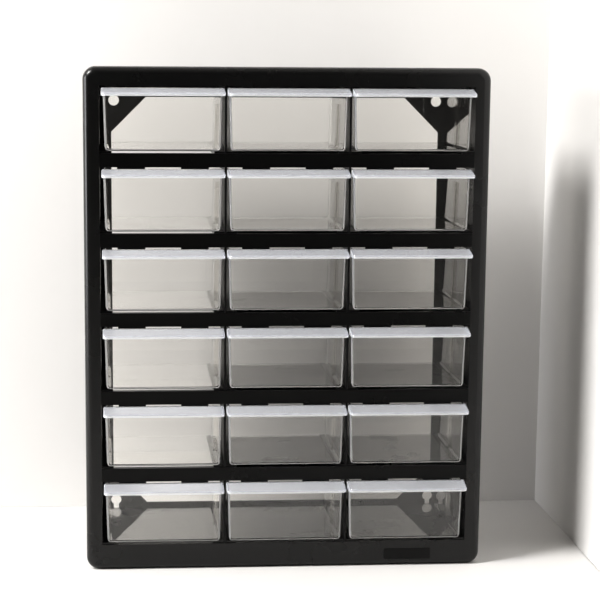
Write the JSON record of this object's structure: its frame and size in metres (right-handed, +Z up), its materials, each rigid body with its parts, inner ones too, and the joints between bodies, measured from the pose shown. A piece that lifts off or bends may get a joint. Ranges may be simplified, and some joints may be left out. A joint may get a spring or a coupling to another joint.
{
  "type": "parts bin cabinet",
  "caption": "Free-standing or wall-hung parts cabinet: black moulded casing with an open back, and clear drawers with awning lips that slide on rails.",
  "frame": {"origin": "middle of the overall box, on the surface the cabinet stands on", "axes": "+Z up, +X to the right across the front, +Y from the front to the back; drawers pull out along -Y"},
  "size_m": [0.318, 0.133, 0.399],
  "materials": {
    "case_plastic": "satin black moulded plastic",
    "shelf_plastic": "satin black moulded plastic",
    "clear_plastic": "clear polystyrene, glossy",
    "plate_plastic": "glossy black label plate, blank"
  },
  "bodies": {
    "cabinet": {"rear_shell": "case_plastic", "front_frame": "case_plastic", "shelf_1": "shelf_plastic", "shelf_2": "shelf_plastic", "shelf_3": "shelf_plastic", "shelf_4": "shelf_plastic", "shelf_5": "shelf_plastic", "upright_left": "shelf_plastic", "upright_right": "shelf_plastic", "nameplate": "plate_plastic"},
    "drawer_r1c1": {"drawer_r1c1": "clear_plastic"},
    "drawer_r1c2": {"drawer_r1c2": "clear_plastic"},
    "drawer_r1c3": {"drawer_r1c3": "clear_plastic"},
    "drawer_r2c1": {"drawer_r2c1": "clear_plastic"},
    "drawer_r2c2": {"drawer_r2c2": "clear_plastic"},
    "drawer_r2c3": {"drawer_r2c3": "clear_plastic"},
    "drawer_r3c1": {"drawer_r3c1": "clear_plastic"},
    "drawer_r3c2": {"drawer_r3c2": "clear_plastic"},
    "drawer_r3c3": {"drawer_r3c3": "clear_plastic"},
    "drawer_r4c1": {"drawer_r4c1": "clear_plastic"},
    "drawer_r4c2": {"drawer_r4c2": "clear_plastic"},
    "drawer_r4c3": {"drawer_r4c3": "clear_plastic"},
    "drawer_r5c1": {"drawer_r5c1": "clear_plastic"},
    "drawer_r5c2": {"drawer_r5c2": "clear_plastic"},
    "drawer_r5c3": {"drawer_r5c3": "clear_plastic"},
    "drawer_r6c1": {"drawer_r6c1": "clear_plastic"},
    "drawer_r6c2": {"drawer_r6c2": "clear_plastic"},
    "drawer_r6c3": {"drawer_r6c3": "clear_plastic"}
  },
  "joints": [
    {"name": "slide_r1c1", "type": "slide", "parent": "cabinet", "child": "drawer_r1c1", "axis": [0, -1, 0], "range_m": [0, 0.1035]},
    {"name": "slide_r1c2", "type": "slide", "parent": "cabinet", "child": "drawer_r1c2", "axis": [0, -1, 0], "range_m": [0, 0.1035]},
    {"name": "slide_r1c3", "type": "slide", "parent": "cabinet", "child": "drawer_r1c3", "axis": [0, -1, 0], "range_m": [0, 0.1035]},
    {"name": "slide_r2c1", "type": "slide", "parent": "cabinet", "child": "drawer_r2c1", "axis": [0, -1, 0], "range_m": [0, 0.1035]},
    {"name": "slide_r2c2", "type": "slide", "parent": "cabinet", "child": "drawer_r2c2", "axis": [0, -1, 0], "range_m": [0, 0.1035]},
    {"name": "slide_r2c3", "type": "slide", "parent": "cabinet", "child": "drawer_r2c3", "axis": [0, -1, 0], "range_m": [0, 0.1035]},
    {"name": "slide_r3c1", "type": "slide", "parent": "cabinet", "child": "drawer_r3c1", "axis": [0, -1, 0], "range_m": [0, 0.1035]},
    {"name": "slide_r3c2", "type": "slide", "parent": "cabinet", "child": "drawer_r3c2", "axis": [0, -1, 0], "range_m": [0, 0.1035]},
    {"name": "slide_r3c3", "type": "slide", "parent": "cabinet", "child": "drawer_r3c3", "axis": [0, -1, 0], "range_m": [0, 0.1035]},
    {"name": "slide_r4c1", "type": "slide", "parent": "cabinet", "child": "drawer_r4c1", "axis": [0, -1, 0], "range_m": [0, 0.1035]},
    {"name": "slide_r4c2", "type": "slide", "parent": "cabinet", "child": "drawer_r4c2", "axis": [0, -1, 0], "range_m": [0, 0.1035]},
    {"name": "slide_r4c3", "type": "slide", "parent": "cabinet", "child": "drawer_r4c3", "axis": [0, -1, 0], "range_m": [0, 0.1035]},
    {"name": "slide_r5c1", "type": "slide", "parent": "cabinet", "child": "drawer_r5c1", "axis": [0, -1, 0], "range_m": [0, 0.1035]},
    {"name": "slide_r5c2", "type": "slide", "parent": "cabinet", "child": "drawer_r5c2", "axis": [0, -1, 0], "range_m": [0, 0.1035]},
    {"name": "slide_r5c3", "type": "slide", "parent": "cabinet", "child": "drawer_r5c3", "axis": [0, -1, 0], "range_m": [0, 0.1035]},
    {"name": "slide_r6c1", "type": "slide", "parent": "cabinet", "child": "drawer_r6c1", "axis": [0, -1, 0], "range_m": [0, 0.1035]},
    {"name": "slide_r6c2", "type": "slide", "parent": "cabinet", "child": "drawer_r6c2", "axis": [0, -1, 0], "range_m": [0, 0.1035]},
    {"name": "slide_r6c3", "type": "slide", "parent": "cabinet", "child": "drawer_r6c3", "axis": [0, -1, 0], "range_m": [0, 0.1035]}
  ]
}
